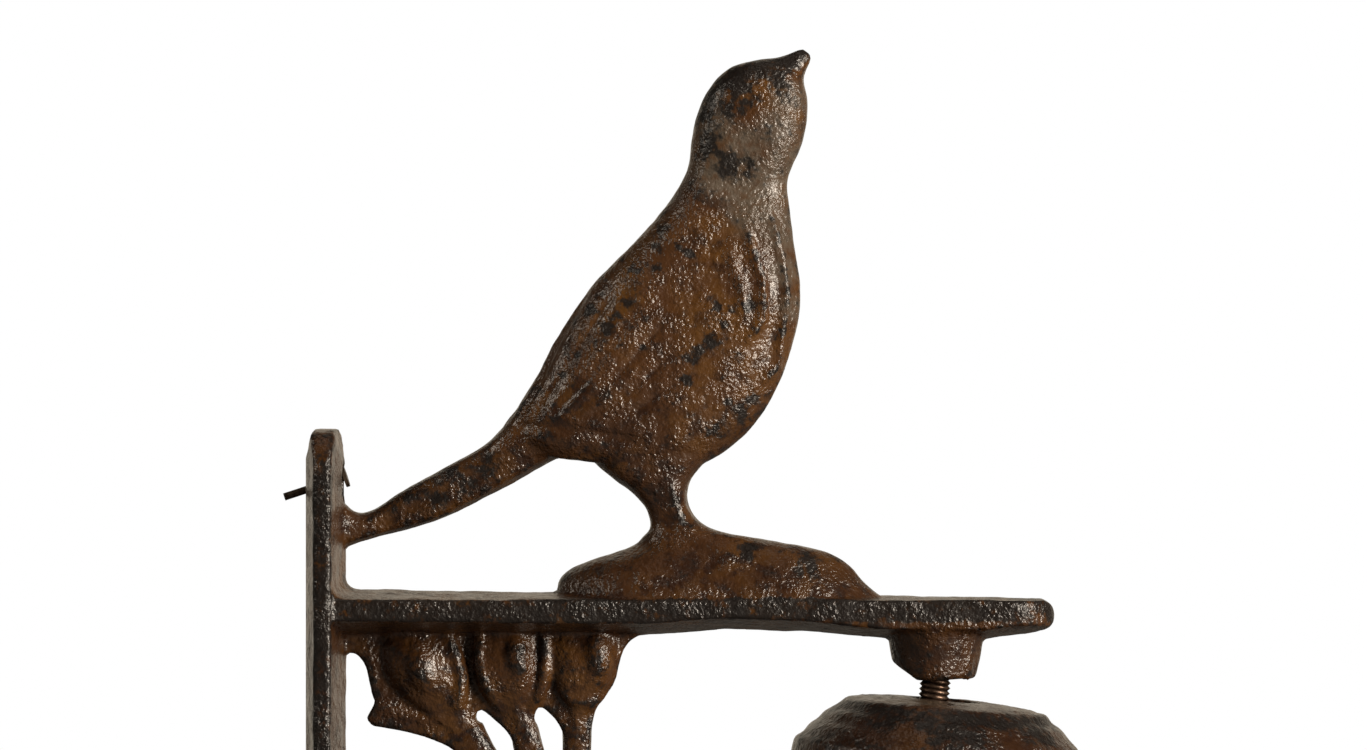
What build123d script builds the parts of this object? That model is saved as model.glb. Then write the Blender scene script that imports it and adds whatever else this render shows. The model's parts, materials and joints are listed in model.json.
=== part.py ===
from build123d import *
from math import cos, dist, radians, sin, tan
import os

# Wall bell of cast iron: a bracket with a bird, and a bell hung from the end of its arm.
# X runs away from the wall, Y to the far side and Z up, all in mm. The origin is on the wall,
# in the middle plane of the casting and level with the top of the arm.

os.makedirs("parts", exist_ok=True)

# Wall plate
plate_width = 35.0
plate_thick = 7.4
plate_top = 30.7
plate_drop = 132.0
plate_end_round = 9.0
plate_bevel_back = 5.4
plate_bevel_front = 7.6
plate_bevel_run = 1.5
plate_bevel_lean = 1.9
wall_land = 12.0
screw_hole_dia = 7.6
top_hole_height = 20.2
low_hole_margin = 12.2
draft_angle = 7.0

# Arm
arm_reach = 143.6
arm_root_width = 34.0
arm_tip_width = 19.2
arm_fall = 1.8
arm_depth = 9.1
arm_waist_depth = 7.8
arm_neck_depth = 8.3
arm_boss_depth = 9.7
arm_nose_depth = 6.2
root_top_draft = 5.5
tip_top_draft = 1.8
under_draft = 12.0
edge_round = 0.9
corner_radius = 2.6

# Boss under the arm and the tilt that its thread was cut with
boss_setback = 22.8
boss_dia = 18.6
boss_drop = 17.2
boss_foot_dia = 15.2
boss_round = 0.8
boss_bevel_run = 3.8
boss_bevel_angle = 37.0
hang_tilt = 5.0

# Eye bolt, nut and washer
thread_dia = 6.0
thread_engage = 13.0
thread_gap = 0.05
bolt_show = 3.9
washer_dia = 24.0
washer_thick = 1.6
nut_flats = 10.0
nut_height = 5.0
seat_gap = 0.03
eye_wire = 4.6
eye_inside = 9.4
eye_neck = 1.2

# Bell, which hangs off centre because its hole is wide
bell_height = 72.0
mouth_radius = 42.0
crown_fall = 0.9
crown_round = 2.2
haunch_radius = 23.4
haunch_drop = 4.6
shoulder_radius = 28.3
shoulder_drop = 9.6
side_radius = 29.0
side_drop = 13.5
waist_radius = 31.8
waist_drop = 36.0
flare_radius = 36.2
flare_drop = 58.0
crown_radius = 18.4
crown_thick = 4.2
wall_thick = 3.2
lip_thick = 4.4
bell_hole_dia = 12.4
bell_gap = 0.9

# Clapper
ring_wire = 4.0
ring_inside = 8.0
shank_dia = 6.0
ball_dia = 23.0
ball_drop = 38.0
ring_gap = 0.1
tail_below_ball = 12.0
tail_dia = 5.0
tail_eye_dia = 9.0
tail_eye_thick = 4.4
cord_hole_dia = 4.2

# Nail in the top hole
nail_dia = 1.45
nail_length = 12.0
nail_head_dia = 4.0
nail_head_thick = 0.7
nail_lean = 18.2
nail_head_out = 6.94
nail_head_height = 21.4

# Casting sections: two outline points as (reach, height) and the thickness there
section_fullness = 2.7
body_sections = [
    ((95.3, 103.9), (96.7, 102.7), 2.4),
    ((92.6, 102.9), (96.3, 100.5), 4.4),
    ((88.6, 101.9), (95.5, 98.2), 7.2),
    ((82.8, 100.8), (96.0, 95.3), 10.4),
    ((77.6, 96.8), (96.2, 91.4), 12.4),
    ((74.5, 90.1), (95.7, 87.4), 13.0),
    ((73.5, 83.4), (93.8, 82.6), 12.2),
    ((72.0, 78.4), (92.3, 77.8), 11.8),
    ((67.6, 71.8), (92.8, 71.2), 13.0),
    ((59.3, 63.2), (94.1, 62.8), 15.0),
    ((50.2, 51.8), (94.4, 53.4), 16.4),
    ((44.7, 42.2), (91.8, 43.0), 16.4),
    ((39.9, 34.3), (85.5, 31.5), 15.2),
    ((37.4, 29.6), (76.4, 24.3), 13.0),
    ((41.5, 25.9), (70.5, 22.6), 9.0),
]
tail_sections = [
    ((49.0, 49.4), (62.0, 32.0), 10.0),
    ((44.2, 41.4), (54.8, 25.6), 10.4),
    ((39.4, 33.4), (47.2, 24.6), 10.0),
    ((34.6, 28.2), (39.8, 20.6), 9.2),
    ((28.9, 24.7), (33.0, 16.9), 8.4),
    ((21.6, 20.8), (24.9, 13.2), 7.8),
    ((15.9, 17.3), (18.2, 11.3), 7.2),
    ((10.5, 14.5), (11.6, 9.6), 7.0),
    ((8.2, 15.4), (8.2, 8.4), 8.0),
    ((5.4, 18.2), (5.4, 5.0), 10.0),
]
mound_sections = [
    ((47.4, -1.8), (110.9, -1.8), 23.0),
    ((48.3, 1.6), (106.4, 1.6), 21.0),
    ((51.8, 4.5), (103.8, 4.5), 17.6),
    ((58.9, 6.9), (99.7, 6.9), 14.4),
    ((63.4, 8.8), (91.5, 8.8), 11.6),
    ((65.4, 10.8), (80.5, 10.8), 9.6),
    ((65.9, 13.2), (75.1, 13.2), 8.4),
    ((64.3, 16.6), (73.2, 16.6), 8.8),
    ((60.4, 20.0), (73.4, 20.0), 10.4),
    ((56.2, 23.2), (75.3, 23.2), 12.0),
    ((51.4, 27.0), (79.7, 27.0), 12.0),
]
first_bud_sections = [
    ((14.9, -5.0), (27.8, -5.0), 7.0),
    ((13.9, -10.0), (29.3, -10.0), 10.0),
    ((14.5, -14.7), (30.5, -14.7), 11.2),
    ((16.6, -19.5), (31.2, -19.5), 9.6),
    ((21.8, -24.0), (31.6, -22.6), 7.2),
    ((26.0, -28.4), (33.0, -26.2), 5.8),
]
middle_bud_sections = [
    ((32.8, -5.0), (44.7, -5.0), 7.0),
    ((32.0, -10.0), (45.3, -10.0), 10.0),
    ((32.4, -14.7), (45.3, -14.7), 11.2),
    ((34.1, -19.5), (44.3, -19.5), 9.6),
    ((37.2, -23.4), (43.0, -23.0), 7.2),
    ((39.4, -28.0), (44.0, -27.6), 5.8),
]
last_bud_sections = [
    ((46.2, -5.0), (60.1, -5.0), 7.0),
    ((45.9, -10.0), (60.3, -10.0), 10.0),
    ((46.1, -14.7), (59.6, -14.7), 11.2),
    ((47.9, -19.2), (58.0, -19.2), 9.6),
    ((49.8, -23.2), (54.9, -23.4), 7.2),
    ((49.4, -28.0), (54.3, -28.0), 5.8),
]
first_stem_sections = [
    ((26.0, -28.6), (33.6, -25.6), 5.8),
    ((30.4, -33.6), (35.9, -30.4), 5.6),
    ((35.6, -40.8), (40.4, -37.6), 5.6),
    ((40.6, -48.6), (45.2, -45.4), 6.0),
    ((43.6, -56.2), (49.8, -54.4), 7.0),
]
middle_stem_sections = [
    ((38.6, -26.4), (43.9, -25.6), 5.8),
    ((40.2, -33.0), (45.6, -32.0), 5.6),
    ((42.4, -41.0), (47.6, -39.8), 5.6),
    ((44.4, -49.0), (49.8, -48.4), 6.0),
    ((44.6, -57.0), (51.0, -57.0), 7.0),
]
last_stem_sections = [
    ((49.0, -26.0), (54.6, -26.0), 5.8),
    ((49.2, -33.6), (54.6, -33.6), 5.6),
    ((49.0, -42.0), (54.2, -42.4), 5.6),
    ((47.8, -50.4), (53.0, -51.2), 6.0),
    ((46.0, -57.6), (52.0, -59.2), 7.0),
]
stalk_sections = [
    ((43.4, -53.6), (52.4, -53.6), 7.4),
    ((42.6, -60.4), (50.8, -62.2), 8.0),
    ((37.6, -66.8), (43.4, -72.6), 8.4),
    ((27.4, -71.4), (29.8, -79.0), 8.6),
    ((16.6, -73.2), (17.4, -81.6), 9.2),
    ((9.4, -72.6), (9.4, -84.0), 11.0),
    ((4.6, -70.6), (4.6, -86.6), 13.0),
]

# Round bulb on each face of a bud: middle as (reach, height), half width, half height and lean
bulb_rise = 6.4
bulbs = [((21.8, -14.8), 3.9, 6.6, 20), ((40.2, -13.0), 3.0, 5.0, 6), ((55.8, -12.6), 3.0, 4.8, 4)]

# Beads along the buds, from inside the arm down to where each sinks into the stems
bead_radius = 1.2
bead_out = 3.3
bead_sunk = 1.2
beads = [
    [(26.6, -7.0), (28.4, -12.2), (29.6, -17.0), (28.8, -23.6)],
    [(33.9, -7.0), (33.1, -12.4), (34.6, -18.6), (39.6, -24.6)],
    [(45.4, -7.0), (46.1, -13.2), (45.2, -18.6), (42.0, -23.6)],
]

# Pierced web behind the buds, down to where its stems run free
web_thick = 5.0
web_left_edge = [(9.2, -12.2), (10.9, -13.9), (11.9, -16.9), (13.2, -21.6)]
web_point = (11.4, -24.9)
web_foot_edge = [(12.6, -26.3), (17.8, -27.2), (23.0, -28.5), (28.0, -30.9), (31.2, -34.2)]
first_gap_edge = [(35.9, -33.0), (33.9, -29.1), (32.4, -24.6), (33.0, -22.7)]
first_gap_return = [(33.0, -22.7), (36.2, -25.2), (38.8, -28.0), (40.4, -33.4)]
second_gap_edge = [(45.7, -33.4), (44.2, -28.0), (43.6, -24.4), (44.7, -22.4)]
second_gap_return = [(44.7, -22.4), (47.2, -24.6), (49.0, -27.4), (49.2, -33.4)]
web_right_edge = [
    (54.7, -33.4), (54.5, -27.0), (56.0, -22.2), (58.9, -18.3), (60.2, -13.0), (64.6, -8.6),
]

# Worked out from the sizes above
half_plate = plate_width / 2
hang_point = arm_reach - boss_setback
bolt_down = Vector(-sin(radians(hang_tilt)), 0, -cos(radians(hang_tilt)))
crown_side = Vector(cos(radians(hang_tilt)), 0, -sin(radians(hang_tilt)))
bolt_foot = Vector(hang_point, 0, -boss_drop)
crown_point = bolt_foot + bolt_down * bolt_show
bell_shift = (bell_hole_dia - thread_dia) / 2 - bell_gap
bolt_axis = Axis(crown_point, -bolt_down)
bolt_side = Plane(origin=crown_point, x_dir=crown_side, z_dir=(0, -1, 0))
bell_side = Plane(origin=crown_point + crown_side * bell_shift, x_dir=crown_side, z_dir=(0, -1, 0))
bell_axis = Axis(bell_side.origin, -bolt_down)
washer_drop = crown_thick + seat_gap
nut_drop = washer_drop + washer_thick + seat_gap
neck_drop = nut_drop + nut_height + eye_neck + eye_wire / 2
eye_radius = (eye_inside + eye_wire) / 2
eye_drop = neck_drop + eye_radius
pivot = crown_point + bolt_down * (eye_drop + eye_radius)
ring_radius = (ring_inside + ring_wire) / 2
ring_rise = (eye_wire + ring_wire) / 2 + ring_gap
ring_centre = pivot + Vector(0, 0, ring_rise - ring_radius)
in_plate = plate_thick / 2
in_arm = -arm_depth / 2
ball_height = pivot.Z - ball_drop
tail_height = ball_height - ball_dia / 2 - tail_below_ball


def relief(sections):
    """Solid through full, rounded sections that lie across the casting's middle plane."""
    with BuildPart() as form:
        for left, right, thick in sections:
            across = Vector(right[0] - left[0], 0, right[1] - left[1])
            middle = Vector((left[0] + right[0]) / 2, 0, (left[1] + right[1]) / 2)
            place = Plane(origin=middle, x_dir=across, z_dir=across.cross(Vector(0, 1, 0)))
            half = dist(left, right) / 2
            corner = 0.5 ** (1 / section_fullness)
            points = [
                (half, 0),
                (half * corner, thick / 2 * corner),
                (0, thick / 2),
                (-half * corner, thick / 2 * corner),
                (-half, 0),
                (-half * corner, -thick / 2 * corner),
                (0, -thick / 2),
                (half * corner, -thick / 2 * corner),
            ]
            with BuildSketch(place):
                with BuildLine():
                    Spline(*points, periodic=True)
                make_face()
        loft()
    return form.part


def bulb(middle, half_wide, half_high, lean):
    """Round swelling on both faces of a bud."""
    origin = Vector(middle[0], bulb_rise - half_wide, middle[1])
    downward = Vector(sin(radians(lean)), 0, -cos(radians(lean)))
    with BuildPart() as swelling:
        with BuildSketch(Plane(origin, x_dir=downward, z_dir=(0, 1, 0))):
            Ellipse(half_high, half_wide)
            split(bisect_by=Plane.XZ)
        revolve(axis=Axis(origin, downward))
        mirror(about=Plane.XZ)
    return swelling.part


def bead(points):
    """Half-round bead on both faces of the buds, with its lower end sunk in."""
    depths = [bead_out] * (len(points) - 1) + [bead_sunk]
    with BuildPart() as form:
        with BuildLine() as path:
            Spline(*[(x, out, z) for (x, z), out in zip(points, depths)])
        with BuildSketch(Plane(path.line @ 0, z_dir=path.line % 0)):
            Circle(bead_radius)
        sweep()
        mirror(about=Plane.XZ)
    return form.part


body = relief(body_sections)
tail = relief(tail_sections)
mound = relief(mound_sections)
ornament = [
    relief(first_bud_sections),
    relief(middle_bud_sections),
    relief(last_bud_sections),
    relief(first_stem_sections),
    relief(middle_stem_sections),
    relief(last_stem_sections),
    relief(stalk_sections),
    *[bulb(*shape) for shape in bulbs],
    *[bead(points) for points in beads],
]

with BuildPart() as plate:
    with BuildSketch(Plane.XY.offset(-plate_drop)):
        with BuildLine():
            side_in = half_plate * tan(radians(draft_angle))
            Polyline(
                (0, -wall_land / 2),
                (side_in, -half_plate),
                (plate_thick - side_in, -half_plate),
                (plate_thick, 0),
                (plate_thick - side_in, half_plate),
                (side_in, half_plate),
                (0, wall_land / 2),
                close=True,
            )
        section = make_face()
        fillet(section.vertices().filter_by_position(Axis.Y, half_plate, half_plate), edge_round)
        fillet(section.vertices().filter_by_position(Axis.Y, -half_plate, -half_plate), edge_round)
    extrude(amount=plate_top + plate_drop)
    with BuildSketch(Plane.XZ):
        with BuildLine():
            Polyline(
                (0, plate_bevel_back - plate_drop),
                (0, plate_top - plate_bevel_back),
                (plate_bevel_run, plate_top),
                (plate_thick - plate_bevel_lean, plate_top),
                (plate_thick, plate_top - plate_bevel_front),
                (plate_thick, plate_bevel_front - plate_drop),
                (plate_thick - plate_bevel_lean, -plate_drop),
                (plate_bevel_run, -plate_drop),
                close=True,
            )
        make_face()
    extrude(amount=half_plate, both=True, mode=Mode.INTERSECT)
    with BuildSketch(Plane.YZ):
        with Locations((0, (plate_top - plate_drop) / 2)):
            RectangleRounded(plate_width, plate_top + plate_drop, plate_end_round)
    extrude(amount=plate_thick, mode=Mode.INTERSECT)

with BuildPart() as arm:
    nose = arm_reach - arm_tip_width / 2
    waist_start = web_right_edge[-1][0]
    waist_end = hang_point - boss_dia / 2
    waist_run = (waist_end - waist_start) / 3
    arm_stations = [
        (plate_thick / 2, arm_depth),
        (waist_start, arm_depth),
        (waist_start + waist_run, arm_waist_depth),
        (waist_end - waist_run, arm_neck_depth),
        (waist_end, arm_boss_depth),
        (hang_point + boss_dia / 2, arm_boss_depth),
        (nose, arm_depth),
        (arm_reach, arm_fall + arm_nose_depth),
    ]
    for reach, depth in arm_stations:
        share = min(reach / nose, 1)
        top_draft = root_top_draft + (tip_top_draft - root_top_draft) * share
        half = arm_root_width / 2 + (arm_tip_width - arm_root_width) / 2 * share
        top = -arm_fall * reach / arm_reach
        with BuildSketch(Plane.YZ.offset(reach)):
            with BuildLine():
                top_side = top - half * tan(radians(top_draft))
                low_side = half * tan(radians(under_draft)) - depth
                Polyline((0, top), (half, top_side), (half, low_side), (0, -depth),
                         (-half, low_side), (-half, top_side), close=True)
            section = make_face()
            fillet(section.vertices().filter_by_position(Axis.X, half, half), edge_round)
            fillet(section.vertices().filter_by_position(Axis.X, -half, -half), edge_round)
    loft(ruled=True)
    with BuildSketch(Plane.XY):
        with BuildLine():
            Line((0, -arm_root_width), (nose, -arm_root_width))
            Line((nose, -arm_root_width), (nose, -arm_tip_width / 2))
            ThreePointArc((nose, -arm_tip_width / 2), (arm_reach, 0), (nose, arm_tip_width / 2))
            Line((nose, arm_tip_width / 2), (nose, arm_root_width))
            Line((nose, arm_root_width), (0, arm_root_width))
            Line((0, arm_root_width), (0, -arm_root_width))
        make_face()
    extrude(amount=arm_depth + arm_fall, both=True, mode=Mode.INTERSECT)
    with BuildSketch(Plane.XZ):
        with BuildLine():
            tip_top = (arm_reach - arm_nose_depth / 2, -arm_fall)
            tip_foot = (arm_reach - arm_nose_depth / 2, -arm_fall - arm_nose_depth)
            ThreePointArc(tip_top, (arm_reach, -arm_fall - arm_nose_depth / 2), tip_foot)
            Polyline(tip_foot, (tip_foot[0], -2 * arm_depth), (0, -2 * arm_depth), (0, arm_depth),
                     (tip_top[0], arm_depth), tip_top)
        make_face()
    extrude(amount=arm_root_width, both=True, mode=Mode.INTERSECT)

with BuildPart() as corner:
    half_corner = arm_root_width / 2 - edge_round
    for side in (-half_corner, 0, half_corner):
        with BuildSketch(Plane.XZ.offset(-side)):
            with BuildLine():
                foot = plate_thick - abs(side) * tan(radians(draft_angle))
                floor = -abs(side) * tan(radians(root_top_draft))
                bend = corner_radius * (1 - cos(radians(45)))
                up = (foot, floor + corner_radius)
                along = (foot + corner_radius, floor)
                ThreePointArc(up, (foot + bend, floor + bend), along)
                Polyline(along, (along[0], in_arm), (in_plate, in_arm), (in_plate, up[1]), up)
            make_face()
    loft(ruled=True)

with BuildPart() as web:
    with BuildSketch(Plane.XZ):
        with BuildLine():
            Polyline(
                web_right_edge[-1],
                (web_right_edge[-1][0], in_arm),
                (in_plate, in_arm),
                (in_plate, web_left_edge[0][1]),
                web_left_edge[0],
            )
            Spline(*web_left_edge)
            Polyline(web_left_edge[-1], web_point, web_foot_edge[0])
            Spline(*web_foot_edge)
            Line(web_foot_edge[-1], first_gap_edge[0])
            Spline(*first_gap_edge)
            Spline(*first_gap_return)
            Line(first_gap_return[-1], second_gap_edge[0])
            Spline(*second_gap_edge)
            Spline(*second_gap_return)
            Line(second_gap_return[-1], web_right_edge[0])
            Spline(*web_right_edge)
        make_face()
    extrude(amount=web_thick / 2, both=True)

with BuildPart() as boss:
    with BuildSketch(Plane.XY.offset(-arm_depth / 2)):
        with Locations((hang_point, 0)):
            Circle(boss_dia / 2 + arm_depth / 4)
    with BuildSketch(Plane.XY.offset(-arm_depth)):
        with Locations((hang_point, 0)):
            Circle(boss_dia / 2)
    with BuildSketch(Plane.XY.offset(-boss_drop)):
        with Locations((hang_point, 0)):
            Circle(boss_foot_dia / 2)
    loft(ruled=True)
    rim = boss.edges().filter_by(GeomType.CIRCLE).sort_by(Axis.Z)[0]
    fillet(rim, boss_round)
    with BuildSketch(Plane.XZ):
        with BuildLine():
            bevel_foot = hang_point - boss_foot_dia / 2 + boss_bevel_run
            bevel_rise = boss_dia * tan(radians(boss_bevel_angle))
            Polyline(
                (bevel_foot, -boss_drop),
                (bevel_foot - boss_dia, -boss_drop + bevel_rise),
                (bevel_foot - boss_dia, -boss_drop),
                close=True,
            )
        make_face()
    extrude(amount=boss_dia, both=True, mode=Mode.SUBTRACT)

with BuildPart() as bracket:
    add(plate.part)
    add(arm.part)
    add(corner.part)
    add(web.part)
    add(boss.part)
    add(body)
    add(tail)
    add(mound)
    add(ornament)
    with BuildSketch(Plane.YZ):
        with Locations((0, top_hole_height), (0, low_hole_margin - plate_drop)):
            Circle(screw_hole_dia / 2)
    extrude(amount=plate_thick * 2, mode=Mode.SUBTRACT)
    with BuildSketch(bolt_side):
        with BuildLine():
            top_reach = bolt_show + thread_engage
            bore = thread_dia / 2 + thread_gap
            Polyline((0, 0), (bore, 0), (bore, top_reach), (0, top_reach + bore / 2), close=True)
        make_face()
    revolve(axis=bolt_axis, mode=Mode.SUBTRACT)
bracket.part.label = "bracket"

with BuildPart() as eye_bolt:
    with BuildSketch(bolt_side):
        with BuildLine():
            bolt_radius = thread_dia / 2
            bolt_end = bolt_show + thread_engage - thread_gap
            Polyline(
                (0, bolt_end),
                (bolt_radius - thread_dia / 10, bolt_end),
                (bolt_radius, bolt_end - thread_dia / 10),
                (bolt_radius, -nut_drop - nut_height),
                (eye_wire / 2, -neck_drop),
                (eye_wire / 2, -neck_drop - eye_wire / 2),
                (0, -neck_drop - eye_wire / 2),
                close=True,
            )
        make_face()
    revolve(axis=bolt_axis)
    with BuildSketch(bolt_side):
        with Locations((0, -eye_drop - eye_radius)):
            Circle(eye_wire / 2)
    revolve(axis=Axis(crown_point + bolt_down * eye_drop, crown_side))
eye_bolt.part.label = "eye_bolt"

with BuildPart() as washer:
    with BuildSketch(bolt_side):
        with Locations(((washer_dia + thread_dia) / 4 + thread_gap, -washer_drop - washer_thick / 2)):
            Rectangle((washer_dia - thread_dia) / 2 - 2 * thread_gap, washer_thick)
    revolve(axis=bolt_axis)
washer.part.label = "washer"

with BuildPart() as nut:
    with BuildSketch(Plane(origin=crown_point + bolt_down * nut_drop, x_dir=crown_side, z_dir=bolt_down)):
        RegularPolygon(nut_flats / 2, 6, major_radius=False)
        Circle(thread_dia / 2 + thread_gap, mode=Mode.SUBTRACT)
    extrude(amount=nut_height)
nut.part.label = "nut"

with BuildPart() as bell:
    with BuildSketch(bell_side):
        with BuildLine():
            hole = bell_hole_dia / 2
            low_crown = -crown_thick
            inner_crown = crown_radius - wall_thick / 4
            mouth = (mouth_radius, -bell_height)
            lip = (mouth_radius - lip_thick, -bell_height)
            lip_low = (mouth_radius - lip_thick / 2, -bell_height - lip_thick / 5)
            FilletPolyline(
                (hole, 0),
                (crown_radius, -crown_fall),
                (haunch_radius, -haunch_drop),
                (shoulder_radius, -shoulder_drop),
                (side_radius, -side_drop),
                radius=crown_round,
            )
            Spline(
                (side_radius, -side_drop),
                (waist_radius, -waist_drop),
                (flare_radius, -flare_drop),
                mouth,
            )
            ThreePointArc(mouth, lip_low, lip)
            Spline(
                lip,
                (flare_radius - wall_thick, -flare_drop),
                (waist_radius - wall_thick, -waist_drop),
                (side_radius - wall_thick, -side_drop),
            )
            Polyline(
                (side_radius - wall_thick, -side_drop),
                (shoulder_radius - wall_thick, -shoulder_drop - wall_thick / 2),
                (inner_crown, low_crown),
                (hole, low_crown),
                (hole, 0),
            )
        make_face()
    revolve(axis=bell_axis)
bell.part.label = "bell"

with BuildPart() as clapper:
    with BuildSketch(Plane(origin=ring_centre, x_dir=(0, 1, 0), z_dir=(1, 0, 0))):
        with Locations((0, ring_radius)):
            Circle(ring_wire / 2)
    revolve(axis=Axis(ring_centre, (0, 1, 0)))
    with BuildSketch(Plane.XZ):
        with BuildLine():
            side = pivot.X
            shank_top = ring_centre.Z - ring_radius
            shank = shank_dia / 2
            ball = ball_dia / 2
            rod = tail_dia / 2
            ball_top = ball_height + (ball**2 - shank**2) ** 0.5
            ball_foot = ball_height - (ball**2 - rod**2) ** 0.5
            Line((side, shank_top), (side + ring_wire / 3, shank_top))
            Line((side + ring_wire / 3, shank_top), (side + shank, shank_top - shank))
            Line((side + shank, shank_top - shank), (side + shank, ball_top))
            ThreePointArc((side + shank, ball_top), (side + ball, ball_height), (side + rod, ball_foot))
            Line((side + rod, ball_foot), (side + rod, tail_height))
            Line((side + rod, tail_height), (side, tail_height))
            Line((side, tail_height), (side, shank_top))
        make_face()
    revolve(axis=Axis(pivot, (0, 0, 1)))
    with BuildSketch(Plane.XZ):
        with Locations((side, tail_height)):
            Circle(tail_eye_dia / 2)
    extrude(amount=tail_eye_thick / 2, both=True)
    with BuildSketch(Plane.XZ):
        with Locations((side, tail_height)):
            Circle(cord_hole_dia / 2)
    extrude(amount=tail_eye_thick, both=True, mode=Mode.SUBTRACT)
clapper.part.label = "clapper"

with BuildPart() as wall_nail:
    lean = radians(nail_lean)
    outward = Vector(cos(lean), 0, sin(lean))
    head_seat = Vector(nail_head_out, 0, nail_head_height)
    with BuildSketch(Plane(origin=head_seat, x_dir=(0, 1, 0), z_dir=outward)):
        Circle(nail_head_dia / 2)
    extrude(amount=nail_head_thick)
    with BuildSketch(Plane(origin=head_seat, x_dir=(0, 1, 0), z_dir=outward)):
        Circle(nail_dia / 2)
    extrude(amount=-nail_length)
wall_nail.part.label = "wall_nail"

for piece in (bracket, eye_bolt, washer, nut, bell, clapper, wall_nail):
    export_step(piece.part, f"parts/{piece.part.label}.step")
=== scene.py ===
"""Wall bell of cast iron: the cast skin, the threaded eye bolt and the finishes of every piece.

All pieces are in metres, in the frame of the solids: X away from the wall, Y to the far side, Z up.
Lines of relief are written in millimetres as (reach from the wall, height over the arm).
"""
import json
from math import pi

import bmesh
import bpy
import numpy as np
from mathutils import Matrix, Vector, noise

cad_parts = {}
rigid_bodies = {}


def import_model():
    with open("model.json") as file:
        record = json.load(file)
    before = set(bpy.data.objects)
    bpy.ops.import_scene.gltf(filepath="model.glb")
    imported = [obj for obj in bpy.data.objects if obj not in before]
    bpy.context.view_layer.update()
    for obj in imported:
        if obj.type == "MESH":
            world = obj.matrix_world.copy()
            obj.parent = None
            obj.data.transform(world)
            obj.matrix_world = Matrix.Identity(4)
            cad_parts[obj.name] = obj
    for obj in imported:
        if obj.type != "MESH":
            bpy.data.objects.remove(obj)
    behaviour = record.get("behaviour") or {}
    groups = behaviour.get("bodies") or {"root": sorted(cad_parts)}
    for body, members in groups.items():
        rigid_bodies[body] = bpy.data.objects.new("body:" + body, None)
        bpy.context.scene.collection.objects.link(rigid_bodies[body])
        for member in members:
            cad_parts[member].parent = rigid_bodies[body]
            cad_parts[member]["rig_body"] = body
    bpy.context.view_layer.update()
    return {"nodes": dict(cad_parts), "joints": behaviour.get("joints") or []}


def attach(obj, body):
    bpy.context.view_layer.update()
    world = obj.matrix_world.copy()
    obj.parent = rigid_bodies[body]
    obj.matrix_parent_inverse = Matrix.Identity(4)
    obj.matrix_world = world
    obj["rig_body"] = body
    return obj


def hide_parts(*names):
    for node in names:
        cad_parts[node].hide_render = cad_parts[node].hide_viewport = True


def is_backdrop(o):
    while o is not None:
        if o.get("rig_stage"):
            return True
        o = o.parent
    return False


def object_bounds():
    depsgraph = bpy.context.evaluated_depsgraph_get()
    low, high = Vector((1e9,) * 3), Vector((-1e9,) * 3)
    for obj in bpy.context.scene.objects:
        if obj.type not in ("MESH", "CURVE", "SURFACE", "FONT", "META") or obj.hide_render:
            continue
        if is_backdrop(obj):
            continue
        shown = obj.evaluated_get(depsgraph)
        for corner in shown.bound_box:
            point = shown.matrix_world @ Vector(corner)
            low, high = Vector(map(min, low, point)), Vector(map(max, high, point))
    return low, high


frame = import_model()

bl_info = {
    "name": "Cast Iron Wall Bell",
    "version": (1, 0, 0),
    "blender": (4, 5, 0),
    "location": "View3D > Sidebar > Wall Bell",
    "description": "Builds the skin and finishes of a cast iron wall bell with a perched bird",
    "category": "Add Mesh",
}

MM = 0.001

# Raised lines of the bracket, as points, height and half width in mm
RAISED_LINES = [
    # Ridges on the bird's breast
    ([(88.8, 72.4), (91.1, 63.2), (92.0, 56.1), (90.1, 43.2), (87.1, 39.3)], 1.0, 0.85),
    ([(84.1, 69.1), (87.4, 59.3), (87.4, 52.0), (84.7, 47.6)], 0.95, 0.85),
    ([(80.9, 65.5), (83.6, 57.0), (84.1, 52.0)], 0.7, 0.85),
    # Beads that run down beside the bulbs of the buds
    ([(26.6, -8.0), (28.4, -12.2), (29.6, -17.0), (28.8, -23.6)], 0.9, 1.0),
    ([(33.7, -8.0), (33.3, -12.4), (34.5, -18.2), (36.6, -21.2)], 0.9, 0.9),
    ([(45.4, -8.0), (46.0, -13.6), (45.0, -18.0)], 0.9, 0.9),
    # Fuller curve of the three bulbs
    ([(20.4, -10.5), (22.2, -15.0), (25.0, -20.5)], 1.2, 3.2),
    ([(40.8, -13.0), (41.8, -18.6)], 0.9, 2.0),
    ([(54.6, -10.5), (55.4, -16.6)], 1.0, 2.4),
    # Edge of the boss, ridge from the leg into the mound, upper band of the tail
    ([(127.4, -11.5), (126.8, -15.5), (126.2, -19.4)], 0.5, 0.8),
    ([(69.5, 21.0), (71.9, 12.3), (74.9, 9.9), (80.3, 7.4), (82.7, 5.9)], 0.7, 1.2),
    ([(33.2, 24.0), (21.6, 18.2), (11.1, 12.8)], 0.35, 0.9),
    # Lower lips of the first and the last bud
    ([(13.5, -22.4), (18.1, -23.9), (21.8, -24.8), (26.5, -25.3)], 0.6, 0.9),
    ([(47.9, -18.3), (49.3, -20.1), (51.2, -21.5), (54.5, -21.8), (57.3, -20.6)], 0.6, 0.9),
]

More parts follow.
